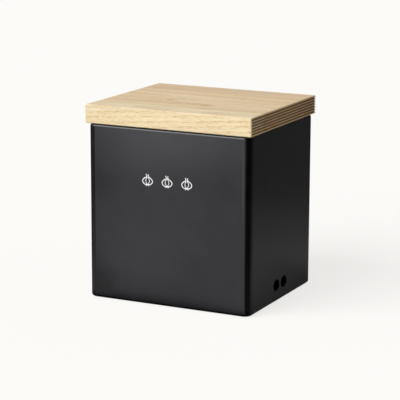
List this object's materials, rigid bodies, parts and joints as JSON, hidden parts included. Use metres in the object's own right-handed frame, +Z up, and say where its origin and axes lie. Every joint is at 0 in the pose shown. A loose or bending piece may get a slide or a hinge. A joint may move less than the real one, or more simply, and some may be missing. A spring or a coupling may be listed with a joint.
{
  "type": "onion storage canister",
  "caption": "Rectangular glazed stoneware pot with air vents low in its short sides, closed by a loose overhanging wooden lid with grooved ends.",
  "frame": {"origin": "on the surface the pot stands on, under the centre of the pot", "axes": "+Z up; X along the long front and back sides; Y along the grooved short sides, with the front facing -Y"},
  "size_m": [0.185, 0.1616, 0.2012],
  "materials": {
    "glaze": "satin",
    "lid_wood": "matte"
  },
  "bodies": {
    "pot_body": {"pot": "glaze"},
    "lid": {"lid_stave_1": "lid_wood", "lid_stave_2": "lid_wood", "lid_stave_3": "lid_wood", "lid_stave_4": "lid_wood", "lid_stave_5": "lid_wood"}
  },
  "joints": [
    {"name": "lid_lift", "type": "slide", "parent": "pot_body", "child": "lid", "axis": [0, 0, 1], "range_m": [0, 0.1]}
  ]
}
